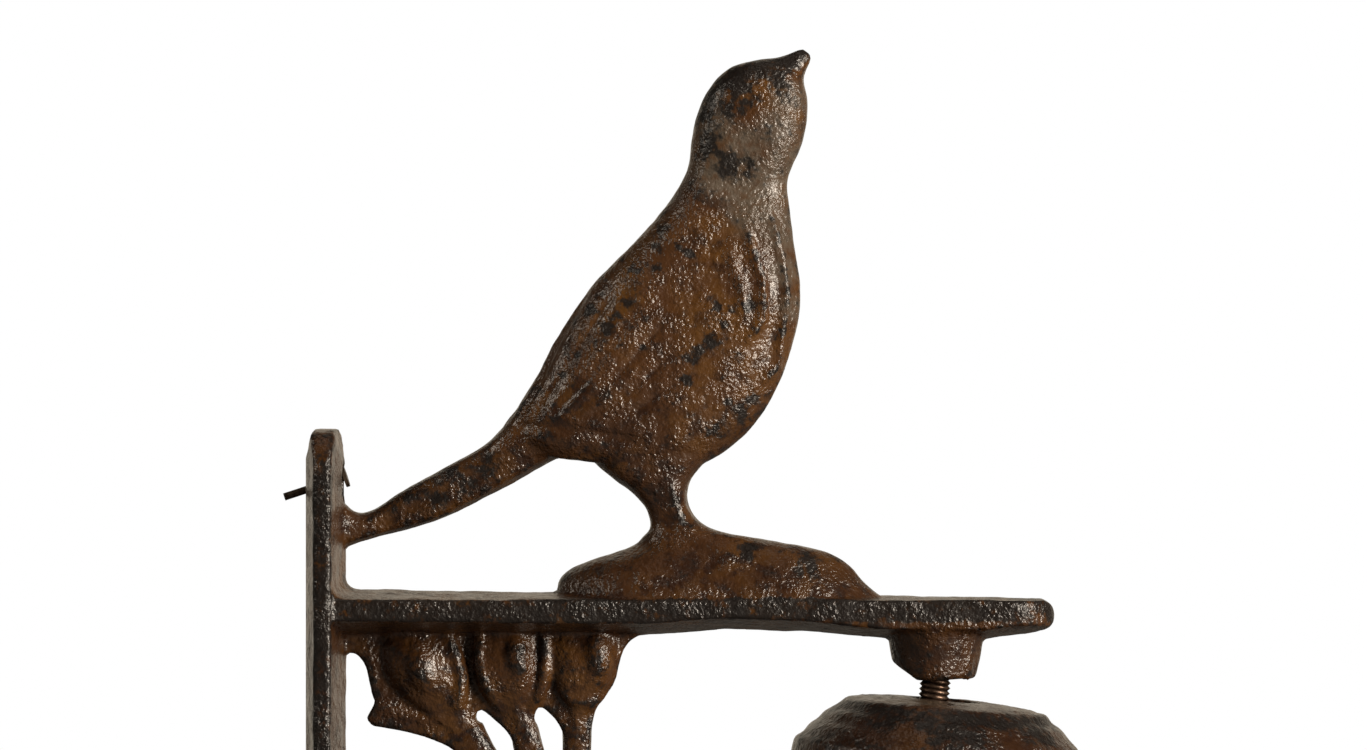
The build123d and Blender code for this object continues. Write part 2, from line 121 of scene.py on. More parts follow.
# Sunk lines of the bracket, as points, depth and half width in mm
SUNK_LINES = [
    # Neck and lower edge of the wing
    ([(73.6, 79.0), (83.0, 77.6), (92.2, 77.0)], 0.3, 1.5),
    ([(39.1, 31.4), (47.9, 31.0), (54.3, 30.0), (60.7, 29.0), (64.5, 28.0)], 0.55, 1.0),
    # Feathers of the wing
    ([(41.5, 33.4), (47.0, 45.0), (54.0, 58.0)], 0.42, 0.6),
    ([(44.0, 33.2), (51.0, 44.0), (59.0, 57.0)], 0.42, 0.6),
    ([(47.0, 33.0), (55.5, 42.5), (64.0, 54.0)], 0.42, 0.6),
    ([(50.0, 32.8), (59.0, 40.0), (68.0, 50.0)], 0.42, 0.6),
    ([(53.0, 32.5), (62.0, 37.5), (71.0, 45.5)], 0.42, 0.6),
    ([(56.0, 32.0), (64.0, 34.8), (72.0, 40.0)], 0.42, 0.6),
    # Lower band of the tail
    ([(45.7, 25.4), (33.2, 21.9), (21.6, 16.4), (11.1, 11.4)], 0.4, 1.3),
]

# Where a line of relief starts to run out, in half widths from its end, and what is left at the end
LINE_END_LENGTH = 3
LINE_END_SHARE = 0.25

# Places where the black undercoat shows, as (reach, height, radius) in mm
BARE_BLACK = [
    # Crown of the head, nape and neck
    (79.0, 97.6, 5.4), (82.5, 99.4, 5.6), (86.0, 100.4, 4.8), (89.5, 101.0, 4.0), (93.4, 102.2, 4.0),
    (82.6, 96.0, 4.0), (82.8, 93.0, 3.4), (77.0, 95.4, 3.8), (75.6, 91.8, 3.0), (77.4, 84.8, 2.8),
    (81.0, 81.8, 2.8), (84.6, 80.0, 1.6), (91.2, 96.4, 2.2),
    # End of the arm
    (142.0, -3.6, 4.6), (137.0, -3.6, 3.6), (131.0, -3.6, 2.6),
    # Wing, breast and belly
    (68.7, 68.9, 1.5), (67.2, 65.6, 1.2), (71.2, 65.5, 1.4), (73.6, 64.1, 1.1), (63.0, 61.0, 1.4),
    (67.3, 61.6, 1.2), (54.3, 53.6, 1.4), (57.2, 50.7, 1.9), (61.1, 55.0, 1.2), (59.6, 52.4, 1.0),
    (84.6, 54.6, 1.6), (81.6, 53.8, 1.2), (78.6, 54.2, 1.1), (79.8, 50.6, 1.1), (77.4, 47.8, 1.7),
    (75.2, 46.0, 1.1), (73.6, 44.2, 1.3), (72.7, 40.2, 1.2), (83.2, 33.6, 2.0), (78.4, 30.4, 2.0),
    (85.4, 36.4, 1.2), (80.6, 36.2, 1.1), (64.4, 46.4, 0.9), (52.0, 45.4, 1.0), (49.4, 41.0, 1.0),
    # Tail and mound
    (35.6, 23.4, 2.6), (30.6, 20.2, 2.6), (24.8, 17.4, 2.2), (84.4, 7.6, 1.8), (96.0, 4.6, 2.4),
]

# Places of grey dust and painted sheen on the neck, head and breast, as (reach, height, radius) in mm
GREY_SHEEN_AND_DUST = [
    # Neck and throat
    (79.0, 80.0, 5.0), (84.0, 78.5, 6.0), (89.0, 78.0, 5.0), (86.0, 73.0, 5.5), (91.0, 69.0, 4.5),
    # Side of the head
    (78.0, 88.6, 4.0), (76.4, 93.0, 3.2), (90.5, 88.0, 4.4), (92.6, 94.0, 3.4), (92.0, 82.0, 4.0),
    (84.0, 85.0, 4.0),
    # Front of the breast
    (91.5, 61.0, 3.0), (93.0, 54.0, 2.6),
]

# Places of darker lacquer and painted shade, mostly on the lower parts, as (reach, height, radius) in mm
DARK_LACQUER_AND_SHADE = [
    # Belly, tail and leg
    (62.0, 30.0, 7.0), (52.0, 30.0, 9.0), (42.0, 25.0, 9.0), (32.0, 20.5, 9.0), (22.0, 16.5, 8.0),
    (70.0, 20.0, 8.0), (82.0, 27.0, 6.0),
    # Boss, arm and mound
    (120.8, -12.0, 15.0), (50.0, 0.0, 10.0), (100.0, 0.0, 10.0),
    (72.0, 3.0, 12.0), (88.0, 3.0, 10.0), (58.0, 2.0, 8.0),
    # Stems and plate
    (36.0, -30.0, 12.0), (50.0, -35.0, 14.0), (13.0, -20.0, 7.0), (4.0, -30.0, 30.0), (4.0, 20.0, 14.0),
]

# How far a place runs out, in radii, how strong it is in its middle, and the cap on the black
PLACE_SPREAD = 1.6
WORN_BLACK = 1.35
DARKENING = 0.9
MOST_BLACK = 1.1

# Side faces of the arm and the plate, in mm, with the share of black that lies on them
# Each pair is the stretch of a rounded edge over which the black sets in or ends
ARM_HALF_WIDTH = 17.0
ARM_NARROWING = 7.4
ARM_TAPER_LENGTH = 134.0
ARM_TOP_ROUND = (0.8, 1.6)
ARM_FOOT_ROUND = (5.6, 6.8)
ARM_SIDE_ROUND = (-1.2, -0.4)
ARM_SIDE_BLACK = 1.15
PLATE_SIDE_ROUND = (15.6, 16.4)
PLATE_FRONT = 7.6
PLATE_SIDE_BLACK = 1.05
SCUFF_LOSS = 0.6

# Boss under the arm, in mm: its middle, half its length and the heights where it meets the arm's side
BOSS_REACH = 118
BOSS_HALF_LENGTH = 14
BOSS_JOIN = (-8.6, -6.6)

# Bell, in mm from its axis: black on the crown's rim and past it, the crown's flat with less painted shade,
# edges of the painted reflection on the crown and of the hole
RIM_RADIUS = 20.8
RIM_BREADTH = 2.2
RIM_BLACK = 1.045
PATCHES_FROM = 21
PATCH_BLACK = 0.9
CROWN_FLAT = 18
REFLECTION_EDGE = (14, 20)
REFLECTION_SHARE = 0.8
HOLE_EDGE = (6.8, 9)

# Bell, in mm below its crown: black on the shoulder, and the stretch that carries rings
SHOULDER_DROP = 9.4
SHOULDER_BREADTH = 1.5
SHOULDER_BLACK = 0.6
SHOULDER_END = 20
RINGS_START = (-2, 1)
RINGS_END = (9, 14)
RING_PITCH = 3.1
RING_HEIGHT = 0.2

# Eye bolt: length in mm that is all shank, and how near to the full radius its skin lies
SHANK_LENGTH = 20
SKIN_SHARE = 0.97

# Distances in metres that count as one place, and the height of a crest or hollow at its full share
SAME_POINT = 0.005 * MM
SAME_LEVEL = 0.01 * MM
FULL_CREST = 0.6 * MM
SETTLE_ROUNDS = 2

# Finishes of the small parts
STEEL_GRAIN_HEIGHT = 0.00003
STEEL_METALLIC = 0.8
NAIL_METALLIC = 0.6
CLAPPER_GRAIN_SHARE = 0.6

# Light and floor
WHITE = (1, 1, 1, 1)
ROOM_COLOUR = (1, 0.88, 0.7, 1)
LAMP_COLOUR = (1.0, 0.89, 0.76)
LAMP_TARGET = (0.075, 0, 0.02)
FLOOR_PALE = 0.85
FLOOR_DARK = 0.16


class BellCastingSettings(bpy.types.PropertyGroup):
    """Sizes of the cast skin."""

    bracket_spacing: bpy.props.FloatProperty(
        name="Bracket mesh spacing", description="Size of the mesh that carries the bracket's relief",
        default=0.00066, min=0.0003, unit="LENGTH", precision=5)
    bell_spacing: bpy.props.FloatProperty(
        name="Bell mesh spacing", description="Size of the mesh that carries the bell's lumps",
        default=0.0008, min=0.0003, unit="LENGTH", precision=5)
    lump_size: bpy.props.FloatProperty(
        name="Lump size", description="Width of the soft lumps that the sand mould left",
        default=0.007, unit="LENGTH", precision=4)
    lump_height: bpy.props.FloatProperty(
        name="Lump height", description="Height of those lumps",
        default=0.00022, unit="LENGTH", precision=5)
    pit_size: bpy.props.FloatProperty(
        name="Pit size", description="Width of the smaller unevenness between the lumps",
        default=0.0024, unit="LENGTH", precision=4)
    pit_height: bpy.props.FloatProperty(
        name="Pit height", description="Height of that unevenness",
        default=0.0001, unit="LENGTH", precision=5)
    edge_reach: bpy.props.IntProperty(
        name="Edge reach", description="Rounds of averaging that tell crests and hollows apart",
        default=14, min=2)
    grain_size: bpy.props.FloatProperty(
        name="Grain size", description="Width of one grain of the cast skin",
        default=0.0008, unit="LENGTH", precision=5)
    grain_height: bpy.props.FloatProperty(
        name="Grain height", description="Height of one grain of the cast skin",
        default=0.0005, unit="LENGTH", precision=5)


class BellFinishSettings(bpy.types.PropertyGroup):
    """Colours of the lacquered iron and of the browned steel."""

    brown: bpy.props.FloatVectorProperty(
        name="Brown", description="Rust-brown lacquer over most of the casting",
        subtype="COLOR", size=4, min=0, max=1, default=(0.062, 0.0252, 0.0082, 1))
    ochre: bpy.props.FloatVectorProperty(
        name="Ochre", description="Warm powdery tint in blotches of the lacquer",
        subtype="COLOR", size=4, min=0, max=1, default=(0.096, 0.0405, 0.008, 1))
    # Umber also stands for painted shade in hollows and on the darker places
    umber: bpy.props.FloatVectorProperty(
        name="Umber", description="Dark brown where the lacquer is thick",
        subtype="COLOR", size=4, min=0, max=1, default=(0.024, 0.0092, 0.0038, 1))
    # The grey stands for dust and a painted sheen on the bird's head and neck, and a painted reflection on
    # the bell's crown
    grey: bpy.props.FloatVectorProperty(
        name="Grey", description="Dull grey where the lacquer is rubbed",
        subtype="COLOR", size=4, min=0, max=1, default=(0.096, 0.074, 0.054, 1))
    black: bpy.props.FloatVectorProperty(
        name="Black", description="Black undercoat on edges and worn places",
        subtype="COLOR", size=4, min=0, max=1, default=(0.0075, 0.0062, 0.0058, 1))
    steel: bpy.props.FloatVectorProperty(
        name="Browned steel", description="Bolt, washer and nut",
        subtype="COLOR", size=4, min=0, max=1, default=(0.16, 0.105, 0.075, 1))
    nail_steel: bpy.props.FloatVectorProperty(
        name="Nail steel", description="Dark nail in the upper hole",
        subtype="COLOR", size=4, min=0, max=1, default=(0.1, 0.072, 0.05, 1))


class BellThreadSettings(bpy.types.PropertyGroup):
    """Sizes of the thread on the eye bolt."""

    pitch: bpy.props.FloatProperty(
        name="Pitch", description="Rise of the thread in one turn",
        default=0.001, unit="LENGTH", precision=5)
    depth: bpy.props.FloatProperty(
        name="Depth", description="Depth of the thread",
        default=0.00055, unit="LENGTH", precision=5)
    steps: bpy.props.IntProperty(
        name="Steps", description="Points in one turn of the thread", default=28, min=8)


class BellStageSettings(bpy.types.PropertyGroup):
    """Sizes of the floor and of the camera's view."""

    view_width: bpy.props.FloatProperty(
        name="View width", description="Width that the camera sees in the middle plane of the casting",
        default=0.2629, unit="LENGTH", precision=4)
    view_reach: bpy.props.FloatProperty(
        name="View middle from the wall", description="Distance of the picture's middle from the wall",
        default=0.0723, unit="LENGTH", precision=4)
    view_height: bpy.props.FloatProperty(
        name="View middle height", description="Height of the picture's middle over the arm",
        default=0.0411, unit="LENGTH", precision=4)
    view_distance: bpy.props.FloatProperty(
        name="Camera distance", description="Distance of the camera from the middle plane",
        default=1.25, unit="LENGTH")
    floor_radius: bpy.props.FloatProperty(
        name="Floor radius", description="Radius of the pale floor",
        default=0.9, unit="LENGTH")
    floor_gap: bpy.props.FloatProperty(
        name="Floor gap", description="Space between the lowest piece and the floor",
        default=0.001, unit="LENGTH", precision=4)


def shader_node(tree, kind, place, **values):
    """Node of a shader tree at a given place, with its properties set."""
    node = tree.nodes.new(kind)
    node.location = place
    for name, value in values.items():
        setattr(node, name, value)
    return node


def set_inputs(node, **values):
    """Sets a node's inputs by name, with underscores for spaces."""
    for name, value in values.items():
        node.inputs[name.replace("_", " ")].default_value = value


def noise_node(tree, place, coords, size, detail, rough, seed):
    """Noise pattern with features of a given size in metres."""
    node = shader_node(tree, "ShaderNodeTexNoise", place, noise_dimensions="4D")
    set_inputs(node, W=seed, Scale=1 / size, Detail=detail, Roughness=rough)
    tree.links.new(coords, node.inputs["Vector"])
    return node.outputs["Fac"]


def steps_node(tree, place, source, low, high, start=0.0, end=1.0):
    """Value that runs smoothly from start to end as the source goes from low to high."""
    node = shader_node(tree, "ShaderNodeMapRange", place, interpolation_type="SMOOTHSTEP")
    set_inputs(node, From_Min=low, From_Max=high, To_Min=start, To_Max=end)
    tree.links.new(source, node.inputs["Value"])
    return node.outputs["Result"]


def math_node(tree, place, operation, first, second, clamp=False):
    """Sum, product or the like of two values or sockets."""
    node = shader_node(tree, "ShaderNodeMath", place, operation=operation, use_clamp=clamp)
    for index, value in enumerate((first, second)):
        if isinstance(value, bpy.types.NodeSocket):
            tree.links.new(value, node.inputs[index])
        else:
            node.inputs[index].default_value = value
    return node.outputs["Value"]


def mix_node(tree, place, share, first, second):
    """Mix of two colour sockets by a share."""
    node = shader_node(tree, "ShaderNodeMix", place, data_type="RGBA")
    tree.links.new(share, node.inputs["Factor"])
    tree.links.new(first, node.inputs["A"])
    tree.links.new(second, node.inputs["B"])
    return node.outputs["Result"]


def new_group(name, inputs, outputs):
    """Empty shader group with its sockets."""
    group = bpy.data.node_groups.new(name, "ShaderNodeTree")
    for label, kind, value in inputs:
        socket = group.interface.new_socket(label, in_out="INPUT", socket_type=kind)
        socket.default_value = value
    for label, kind in outputs:
        group.interface.new_socket(label, in_out="OUTPUT", socket_type=kind)
    return group


def link_outputs(group, place, **results):
    """Links the results of a group to its outputs by name, with underscores for spaces."""
    node = shader_node(group, "NodeGroupOutput", place)
    for name, result in results.items():
        group.links.new(result, node.inputs[name.replace("_", " ")])


def cast_skin_group():
    """Group that gives the colour, roughness, coat and height of lacquered sand-cast iron; its colour holds
    painted shade and painted sheen.
    """
    if "cast skin" in bpy.data.node_groups:
        return bpy.data.node_groups["cast skin"]
    plain = (0.1, 0.1, 0.1, 1)
    colours = ("Brown", "Ochre", "Umber", "Black", "Grey")
    shares = ("Sheen_and_dust", "Crest", "Shade_and_dark", "Bare")
    group = new_group(
        "cast skin",
        [(label, "NodeSocketColor", plain) for label in colours]
        + [(label, "NodeSocketFloat", 0.0) for label in shares]
        + [("Grain Scale", "NodeSocketFloat", 800.0)],
        [("Color", "NodeSocketColor"), ("Roughness", "NodeSocketFloat"),
         ("Coat Weight", "NodeSocketFloat"), ("Height", "NodeSocketFloat")],
    )
    given = shader_node(group, "NodeGroupInput", (-1400, 0)).outputs
    coords = shader_node(group, "ShaderNodeTexCoord", (-1400, 400)).outputs["Object"]
    blotch = noise_node(group, (-1100, 500), coords, size=0.011, detail=4, rough=0.6, seed=1.0)
    streak = noise_node(group, (-1100, 250), coords, size=0.0036, detail=3, rough=0.6, seed=5.0)
    speck = noise_node(group, (-1100, 0), coords, size=0.0013, detail=2, rough=0.6, seed=9.0)
    patch = noise_node(group, (-1100, -650), coords, size=0.005, detail=2, rough=0.5, seed=12.0)

    # Grain of the sand mould, deeper in patches and a little calmer on bare places
    grain = shader_node(group, "ShaderNodeTexNoise", (-1100, -300), noise_dimensions="3D")
    set_inputs(grain, Detail=2.0, Roughness=0.5, Distortion=0.0)
    group.links.new(coords, grain.inputs["Vector"])
    group.links.new(given["Grain Scale"], grain.inputs["Scale"])
    depth = steps_node(group, (-850, -650), patch, low=0.38, high=0.62, start=0.5, end=1.2)
    calm = steps_node(group, (-650, -850), given["Bare"], low=0.2, high=1.0, start=1.0, end=0.85)
    depth = math_node(group, (-650, -650), "MULTIPLY", depth, calm)
    bumps = math_node(group, (-450, -500), "MULTIPLY", grain.outputs["Fac"], depth)

    # Brown lacquer with blotches of ochre, umber in streaks, umber as painted shade in hollows and dark
    # places, and grey where there is dust and painted sheen
    warm = steps_node(group, (-850, 500), blotch, low=0.4, high=0.64)
    body = mix_node(group, (-450, 450), warm, given["Brown"], given["Ochre"])
    deep = steps_node(group, (-850, 250), streak, low=0.46, high=0.66, start=0.0, end=0.7)
    shade_umber = math_node(group, (-650, 350), "MULTIPLY", given["Shade_and_dark"], 0.8)
    deep = math_node(group, (-450, 250), "ADD", deep, shade_umber, clamp=True)
    body = mix_node(group, (-250, 400), deep, body, given["Umber"])
    broken = steps_node(group, (-850, -300), speck, low=0.3, high=0.62, start=0.45, end=1.0)
    sheen_and_dust = math_node(group, (-450, 600), "MULTIPLY", given["Sheen_and_dust"], broken)
    body = mix_node(group, (-100, 500), sheen_and_dust, body, given["Grey"])

    # Black undercoat on crests and worn places, with a ragged border
    edge = math_node(group, (-850, 50), "MULTIPLY", given["Crest"], 0.8)
    worn = math_node(group, (-650, 100), "MAXIMUM", edge, given["Bare"])
    ragged = math_node(group, (-850, -120), "ADD", streak, speck)
    ragged = math_node(group, (-650, -80), "MULTIPLY", ragged, 1.3)
    part = math_node(group, (-650, 0), "MULTIPLY", worn, 0.55)
    reach = math_node(group, (-450, 50), "ADD", part, ragged)
    bare = steps_node(group, (-250, 50), reach, low=1.45, high=1.85, start=0.0, end=0.94)
    colour = mix_node(group, (0, 300), bare, body, given["Black"])

    # Gloss that changes from speck to speck, under a coat that is thinner on bare places and on the grey of
    # dust and painted sheen
    rough = steps_node(group, (-250, -150), speck, low=0.3, high=0.7, start=0.29, end=0.44)
    dull = math_node(group, (-100, -200), "MULTIPLY", bare, 0.03)
    rough = math_node(group, (0, -100), "ADD", rough, dull)
    coat = steps_node(group, (-100, -300), bare, low=0.0, high=1.0, start=0.54, end=0.3)
    matt = steps_node(group, (-100, -500), given["Sheen_and_dust"], low=0.0, high=1.0, start=1.0, end=0.65)
    coat = math_node(group, (100, -300), "MULTIPLY", coat, matt)
    link_outputs(group, (250, 0), Color=colour, Roughness=rough, Coat_Weight=coat, Height=bumps)
    return group


def browned_steel_group():
    """Group that gives the colour, roughness and height of steel that has gone brown."""
    if "browned steel" in bpy.data.node_groups:
        return bpy.data.node_groups["browned steel"]
    group = new_group(
        "browned steel",
        [("Steel", "NodeSocketColor", (0.2, 0.2, 0.2, 1)),
         ("Stain", "NodeSocketColor", (0.03, 0.02, 0.01, 1))],
        [("Color", "NodeSocketColor"), ("Roughness", "NodeSocketFloat"), ("Height", "NodeSocketFloat")],
    )
    given = shader_node(group, "NodeGroupInput", (-900, 0)).outputs
    coords = shader_node(group, "ShaderNodeTexCoord", (-900, 300)).outputs["Object"]
    cloud = noise_node(group, (-650, 300), coords, size=0.0028, detail=4, rough=0.6, seed=3.0)
    speck = noise_node(group, (-650, 0), coords, size=0.0006, detail=2, rough=0.6, seed=7.0)
    stain = steps_node(group, (-400, 300), cloud, low=0.4, high=0.66)
    colour = mix_node(group, (-150, 200), stain, given["Steel"], given["Stain"])
    rough = steps_node(group, (-400, 0), speck, low=0.3, high=0.7, start=0.28, end=0.5)
    link_outputs(group, (150, 0), Color=colour, Roughness=rough, Height=speck)
    return group


def empty_material(name):
    """Material with a Principled shader and nothing else linked."""
    material = bpy.data.materials.new(name)
    material.use_nodes = True
    tree = material.node_tree
    tree.nodes.clear()
    output = shader_node(tree, "ShaderNodeOutputMaterial", (600, 0))
    shader = shader_node(tree, "ShaderNodeBsdfPrincipled", (250, 0))
    tree.links.new(shader.outputs["BSDF"], output.inputs["Surface"])
    return material, tree, shader


def link_finish(tree, shader, group, bump_height):
    """Links a finish group to the shader, with its height as a bump, and returns the bump's normal."""
    tree.links.new(group.outputs["Color"], shader.inputs["Base Color"])
    tree.links.new(group.outputs["Roughness"], shader.inputs["Roughness"])
    bump = shader_node(tree, "ShaderNodeBump", (0, -300))
    set_inputs(bump, Strength=1.0, Distance=bump_height)
    tree.links.new(group.outputs["Height"], bump.inputs["Height"])
    tree.links.new(bump.outputs["Normal"], shader.inputs["Normal"])
    return bump.outputs["Normal"]


def cast_iron(name, grain_share=1.0):
    """Lacquered cast iron for one piece."""
    casting = bpy.context.scene.bell_casting
    finish = bpy.context.scene.bell_finish
    material, tree, shader = empty_material(name)
    group = shader_node(tree, "ShaderNodeGroup", (-200, 0), node_tree=cast_skin_group())
    set_inputs(group, Brown=finish.brown, Ochre=finish.ochre, Umber=finish.umber, Black=finish.black,
               Grey=finish.grey, Grain_Scale=1 / casting.grain_size)
    # Of these marks the second is darker lacquer with painted shade, the last grey dust with painted sheen
    # on the bird and a painted reflection on the bell
    for row, label in enumerate(("Crest", "Shade_and_dark", "Bare", "Sheen_and_dust")):
        mark = shader_node(tree, "ShaderNodeAttribute", (-500, -200 * row), attribute_name=label.lower())
        tree.links.new(mark.outputs["Fac"], group.inputs[label])
    normal = link_finish(tree, shader, group, casting.grain_height * grain_share)
    tree.links.new(normal, shader.inputs["Coat Normal"])
    tree.links.new(group.outputs["Coat Weight"], shader.inputs["Coat Weight"])
    set_inputs(shader, Specular_IOR_Level=0.34, Coat_Roughness=0.15)
    return material


def browned_steel(name, colour, metallic):
    """Browned steel for one piece."""
    material, tree, shader = empty_material(name)
    group = shader_node(tree, "ShaderNodeGroup", (-200, 0), node_tree=browned_steel_group())
    set_inputs(group, Steel=colour, Stain=bpy.context.scene.bell_finish.umber)
    link_finish(tree, shader, group, STEEL_GRAIN_HEIGHT)
    set_inputs(shader, Metallic=metallic)
    return material


def new_object(name, data):
    """Object at the origin, linked to the scene."""
    made = bpy.data.objects.new(name, data)
    bpy.context.scene.collection.objects.link(made)
    return made


def dress(piece, material):
    """Gives a piece one material."""
    piece.data.materials.clear()
    piece.data.materials.append(material)


def add_piece(name, mesh, material, node):
    """Makes a finished mesh a piece that stands for a frame node."""
    piece = new_object(name, mesh)
    dress(piece, material)
    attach(piece, frame["nodes"][node]["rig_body"])
    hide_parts(node)


def merged_copy(node):
    """Copy of a frame node's mesh with its loose triangles joined."""
    mesh = frame["nodes"][node].data.copy()
    work = bmesh.new()
    work.from_mesh(mesh)
    bmesh.ops.remove_doubles(work, verts=work.verts, dist=SAME_POINT)
    work.to_mesh(mesh)
    work.free()
    return mesh


def plain_mesh(source):
    """Mesh that an object's modifiers make, in place of the object, which is removed."""
    depsgraph = bpy.context.evaluated_depsgraph_get()
    mesh = bpy.data.meshes.new_from_object(source.evaluated_get(depsgraph))
    own_mesh = source.data
    bpy.data.objects.remove(source)
    bpy.data.meshes.remove(own_mesh)
    return mesh


def even_skin(node, spacing):
    """Even mesh that lies on a frame node's surface and is fine enough to carry relief."""
    base = new_object(node + "_even", merged_copy(node))
    remesh = base.modifiers.new("even", "REMESH")
    remesh.mode = "VOXEL"
    remesh.voxel_size = spacing
    seat = base.modifiers.new("seat", "SHRINKWRAP")
    seat.target = frame["nodes"][node]
    settle = base.modifiers.new("settle", "SMOOTH")
    settle.factor = 0.5
    settle.iterations = SETTLE_ROUNDS
    return plain_mesh(base)


def read_vectors(collection, name):
    """One vector of each item of a collection, as rows of an array."""
    flat = np.empty(len(collection) * 3)
    collection.foreach_get(name, flat)
    return flat.reshape(-1, 3)


def edge_ends(mesh):
    """Numbers of the two vertices of each edge."""
    ends = np.empty(len(mesh.edges) * 2, dtype=np.int32)
    mesh.edges.foreach_get("vertices", ends)
    return ends.reshape(-1, 2)


def neighbour_mean(values, ends):
    """Mean of the neighbours of each vertex."""
    total = np.zeros_like(values)
    number = np.zeros(len(values))
    for here, there in ((0, 1), (1, 0)):
        np.add.at(total, ends[:, here], values[ends[:, there]])
        np.add.at(number, ends[:, here], 1)
    return total / np.maximum(number, 1)[:, None]


def crest_and_hollow(points, normals, ends, rounds):
    """How far each vertex stands out of or lies under its surroundings, from 0 to 1."""
    soft = points
    for _ in range(rounds):
        soft = neighbour_mean(soft, ends)
    lift = ((points - soft) * normals).sum(axis=1) / FULL_CREST
    return np.clip(lift, 0, 1), np.clip(-lift, 0, 1)


def lumps(points, size, seed):
    """Soft unevenness between about -1 and 1."""
    shift = Vector((seed, seed, seed))
    return np.array([noise.noise(Vector(point) / size + shift) for point in points])


def smooth_share(values, low, high):
    """0 below low, 1 above high and smooth between."""
    share = np.clip((values - low) / (high - low), 0, 1)
    return share * share * (3 - 2 * share)


def band(values, middle, breadth):
    """1 in the middle of a band, falling off softly to both sides."""
    return np.exp(-((values - middle) / breadth) ** 2)


def line_profile(points, line, half_width):
    """Rounded profile of 0 to 1 about a line in the XZ plane, which runs out at its ends."""
    corners = np.array(line) * MM
    lengths = np.linalg.norm(np.diff(corners, axis=0), axis=1)
    starts = np.concatenate(([0], np.cumsum(lengths)))
    nearest = np.full(len(points), np.inf)
    along = np.zeros(len(points))
    for start, end, length, done in zip(corners[:-1], corners[1:], lengths, starts):
        offset = points - start
        share = np.clip(offset @ (end - start) / length ** 2, 0, 1)
        gap = np.linalg.norm(offset - share[:, None] * (end - start), axis=1)
        closer = gap < nearest
        nearest[closer] = gap[closer]
        along[closer] = (done + share * length)[closer]
    to_end = np.minimum(along, starts[-1] - along)
    inside = np.clip(to_end / (LINE_END_LENGTH * half_width * MM), 0, 1)
    height = LINE_END_SHARE + (1 - LINE_END_SHARE) * inside
    return band(nearest, 0, half_width * MM) * height


def bracket_relief(points, normals):
    """Height of the lines of relief on both faces of the casting."""
    flat = points[:, [0, 2]]
    relief = np.zeros(len(points))
    for line, height, half_width in RAISED_LINES:
        relief += height * MM * line_profile(flat, line, half_width)
    for line, depth, half_width in SUNK_LINES:
        relief -= depth * MM * line_profile(flat, line, half_width)
    return relief * smooth_share(np.abs(normals[:, 1]), 0.1, 0.4)


def near_places(points, places):
    """1 in the middle of the nearest place, falling to 0 outside it."""
    share = np.zeros(len(points))
    for reach, height, radius in places:
        gap = np.hypot(points[:, 0] - reach * MM, points[:, 2] - height * MM)
        share = np.maximum(share, 1 - gap / (radius * MM * PLACE_SPREAD))
    return share


def arm_half_width(reach):
    """Half of the arm's width at a distance from the wall."""
    along = np.clip(reach / (ARM_TAPER_LENGTH * MM), 0, 1)
    return ARM_HALF_WIDTH * MM - ARM_NARROWING * MM * along


def bare_black(points):
    """Share of black undercoat at each vertex: the sides of plate and arm and the worn places."""
    reach, side, height = points.T / MM
    past_arm = np.abs(side) - arm_half_width(points[:, 0]) / MM
    at_arm = smooth_share(-height, *ARM_TOP_ROUND) * (1 - smooth_share(-height, *ARM_FOOT_ROUND))
    arm_side = ARM_SIDE_BLACK * at_arm * smooth_share(past_arm, *ARM_SIDE_ROUND)
    scuffs = smooth_share(lumps(points, size=0.012, seed=4.4), -0.1, 0.45)
    at_plate = smooth_share(np.abs(side), *PLATE_SIDE_ROUND) * (reach < PLATE_FRONT)
    plate_side = at_plate * (PLATE_SIDE_BLACK - SCUFF_LOSS * scuffs)
    worn = np.minimum(WORN_BLACK * near_places(points, BARE_BLACK), MOST_BLACK)
    return np.maximum(np.maximum(arm_side, plate_side), worn)


def bracket_marks(points):
    """Shares of black undercoat, of darker lacquer with painted shade, and of grey dust with painted sheen
    at each vertex.
    """
    dark = DARKENING * near_places(points, DARK_LACQUER_AND_SHADE)
    sheen_and_dust = smooth_share(near_places(points, GREY_SHEEN_AND_DUST), 0.1, 0.7)
    return bare_black(points), dark, sheen_and_dust


def write_marks(mesh, marks):
    """Keeps one number for each vertex under each name."""
    for name, values in marks.items():
        mesh.attributes.new(name, "FLOAT", "POINT").data.foreach_set("value", values)


def cast_mesh(node, spacing, relief_of, marks_of, keep_of):
    """Mesh of a cast piece with its relief, lumps and marks."""
    casting = bpy.context.scene.bell_casting
    mesh = even_skin(node, spacing)
    points = read_vectors(mesh.vertices, "co")
    normals = read_vectors(mesh.vertices, "normal")
    rough = casting.lump_height * lumps(points, casting.lump_size, seed=3.7)
    rough += casting.pit_height * lumps(points, casting.pit_size, seed=8.1)
    height = (rough + relief_of(points, normals)) * keep_of(points, normals)
    points = points + normals * height[:, None]
    # Hollows are darkened in the colour as painted shade
    crest, shade_and_dark = crest_and_hollow(points, normals, edge_ends(mesh), casting.edge_reach)
    mesh.vertices.foreach_set("co", points.ravel())
    bare, dark, sheen_and_dust = marks_of(points)
    write_marks(mesh, {"crest": crest, "shade_and_dark": np.maximum(shade_and_dark, dark), "bare": bare, "sheen_and_dust": sheen_and_dust})
    mesh.update()
    mesh.shade_smooth()
    return mesh


def bell_axis():
    """Place and direction of the axis that the bell turns on."""
    joint = next(item for item in frame["joints"] if item["name"] == "bell_turn")
    return joint["pos_m"], joint["axis"]


